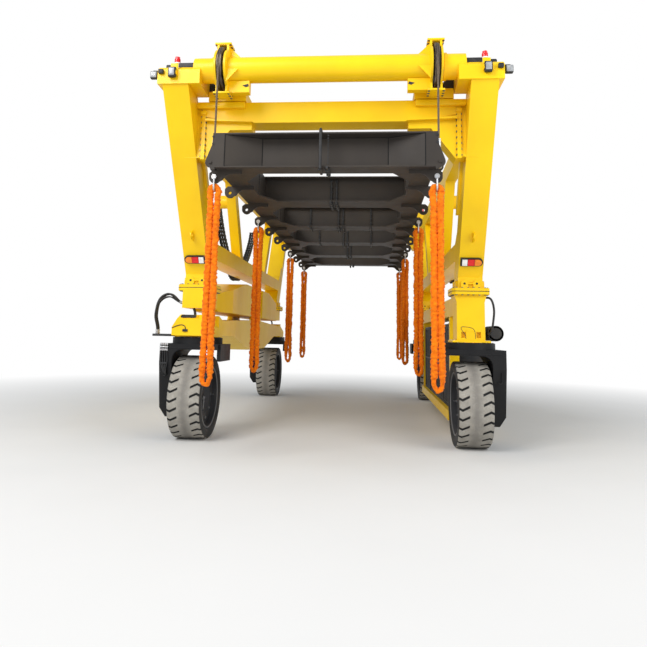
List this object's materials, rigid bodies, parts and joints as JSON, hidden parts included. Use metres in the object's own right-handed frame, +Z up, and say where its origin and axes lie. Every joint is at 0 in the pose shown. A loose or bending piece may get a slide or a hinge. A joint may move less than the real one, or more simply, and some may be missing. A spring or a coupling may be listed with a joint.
{
  "type": "rubber tyred gantry crane",
  "caption": "Rubber tyred gantry crane: yellow portal frame with leaning legs, black steered wheel forks, dark lifting frame on ropes and orange slings",
  "frame": {"origin": "on the ground in the middle between the four wheels", "axes": "+X to the right side with the power pack, +Y to the back along the crane, +Z up"},
  "size_m": [5.752, 11.2798, 5.84],
  "materials": {
    "yellow_paint": "glossy yellow machine paint",
    "black_paint": "satin black paint on the wheel forks",
    "frame_paint": "dark grey paint on the lifting frame",
    "tyre_rubber": "dusty grey tread, black grooves and side walls",
    "rim_paint": "dark grey paint",
    "rope_steel": "greased steel wire",
    "bare_steel": "zinc coated steel",
    "sling_fabric": "orange woven sling sleeve",
    "black_rubber": "matt black rubber and plastic",
    "grey_machine": "dark grey machinery",
    "lamp_plastic": "red, amber and white lenses"
  },
  "bodies": {
    "frame": {"left_front_leg": "yellow_paint", "left_back_leg": "yellow_paint", "right_front_leg": "yellow_paint", "right_back_leg": "yellow_paint", "sill_beams": "yellow_paint", "side_columns": "yellow_paint", "top_side_beams": "yellow_paint", "cross_tubes": "yellow_paint", "cross_beams": "yellow_paint", "head_boxes": "yellow_paint", "sheave_brackets": "yellow_paint", "rope_winches": "yellow_paint", "equaliser_beam": "yellow_paint", "right_lower_frame": "yellow_paint", "skid": "yellow_paint", "hoist_ropes": "rope_steel", "power_pack": "grey_machine", "radiator": "grey_machine", "engine_gear": "grey_machine", "cable_chains": "black_rubber", "tail_lamps": "lamp_plastic", "work_lights": "lamp_plastic"},
    "rocker": {"rocker_beam": "yellow_paint", "rocker_pin": "bare_steel", "steering_hoses": "black_rubber"},
    "lifting_frame": {"frame_rails": "frame_paint", "frame_end_beams": "frame_paint", "frame_inner_beams": "frame_paint", "frame_lugs": "frame_paint", "frame_pipes": "black_rubber", "rope_sockets": "bare_steel", "sling_shackles": "bare_steel", "slings": "sling_fabric"},
    "left_front_steering": {"left_front_fork": "black_paint"},
    "left_front_wheel": {"left_front_tyre": "tyre_rubber", "left_front_rim": "rim_paint"},
    "left_front_rope_sheave": {"left_front_sheave": "rope_steel"},
    "left_back_steering": {"left_back_fork": "black_paint"},
    "left_back_wheel": {"left_back_tyre": "tyre_rubber", "left_back_rim": "rim_paint"},
    "left_back_rope_sheave": {"left_back_sheave": "rope_steel"},
    "right_front_steering": {"right_front_fork": "black_paint"},
    "right_front_wheel": {"right_front_tyre": "tyre_rubber", "right_front_rim": "rim_paint"},
    "right_front_rope_sheave": {"right_front_sheave": "rope_steel"},
    "right_back_steering": {"right_back_fork": "black_paint"},
    "right_back_wheel": {"right_back_tyre": "tyre_rubber", "right_back_rim": "rim_paint"},
    "right_back_rope_sheave": {"right_back_sheave": "rope_steel"}
  },
  "joints": [
    {"name": "rocker_tilt", "type": "hinge", "parent": "frame", "child": "rocker", "pos_m": [-2.19, 0, 2.4], "axis": [1, 0, 0], "range_deg": [-1.5, 1.5]},
    {"name": "hoist", "type": "slide", "parent": "frame", "child": "lifting_frame", "axis": [0, 0, 1], "range_m": [-2.15, 0.15], "deforming": ["hoist_ropes"]},
    {"name": "left_front_steer", "type": "hinge", "parent": "rocker", "child": "left_front_steering", "pos_m": [-2.19, -3.5, 1.5], "axis": [0, 0, 1], "range_deg": [-45, 45]},
    {"name": "left_back_steer", "type": "hinge", "parent": "rocker", "child": "left_back_steering", "pos_m": [-2.19, 3.5, 1.5], "axis": [0, 0, 1], "range_deg": [-45, 45]},
    {"name": "right_front_steer", "type": "hinge", "parent": "frame", "child": "right_front_steering", "pos_m": [2.19, -3.5, 1.5], "axis": [0, 0, 1], "range_deg": [-45, 45]},
    {"name": "right_back_steer", "type": "hinge", "parent": "frame", "child": "right_back_steering", "pos_m": [2.19, 3.5, 1.5], "axis": [0, 0, 1], "range_deg": [-45, 45]},
    {"name": "left_front_roll", "type": "hinge", "parent": "left_front_steering", "child": "left_front_wheel", "pos_m": [-2.19, -3.5, 0.65], "axis": [1, 0, 0], "continuous": true},
    {"name": "left_back_roll", "type": "hinge", "parent": "left_back_steering", "child": "left_back_wheel", "pos_m": [-2.19, 3.5, 0.65], "axis": [1, 0, 0], "continuous": true},
    {"name": "right_front_roll", "type": "hinge", "parent": "right_front_steering", "child": "right_front_wheel", "pos_m": [2.19, -3.5, 0.65], "axis": [1, 0, 0], "continuous": true},
    {"name": "right_back_roll", "type": "hinge", "parent": "right_back_steering", "child": "right_back_wheel", "pos_m": [2.19, 3.5, 0.65], "axis": [1, 0, 0], "continuous": true},
    {"name": "left_front_sheave_turn", "type": "hinge", "parent": "frame", "child": "left_front_rope_sheave", "pos_m": [-1.53, -5.08113, 5.47], "axis": [1, 0, 0], "range_deg": [-30, 388]},
    {"name": "left_back_sheave_turn", "type": "hinge", "parent": "frame", "child": "left_back_rope_sheave", "pos_m": [-1.53, 5.08113, 5.47], "axis": [1, 0, 0], "range_deg": [-388, 30]},
    {"name": "right_front_sheave_turn", "type": "hinge", "parent": "frame", "child": "right_front_rope_sheave", "pos_m": [1.53, -5.08113, 5.47], "axis": [1, 0, 0], "range_deg": [-30, 388]},
    {"name": "right_back_sheave_turn", "type": "hinge", "parent": "frame", "child": "right_back_rope_sheave", "pos_m": [1.53, 5.08113, 5.47], "axis": [1, 0, 0], "range_deg": [-388, 30]}
  ],
  "couplings": [
    {"joint": "left_front_sheave_turn", "follows": "hoist", "rad_per_m": -3.125},
    {"joint": "left_back_sheave_turn", "follows": "hoist", "rad_per_m": 3.125},
    {"joint": "right_front_sheave_turn", "follows": "hoist", "rad_per_m": -3.125},
    {"joint": "right_back_sheave_turn", "follows": "hoist", "rad_per_m": 3.125}
  ]
}
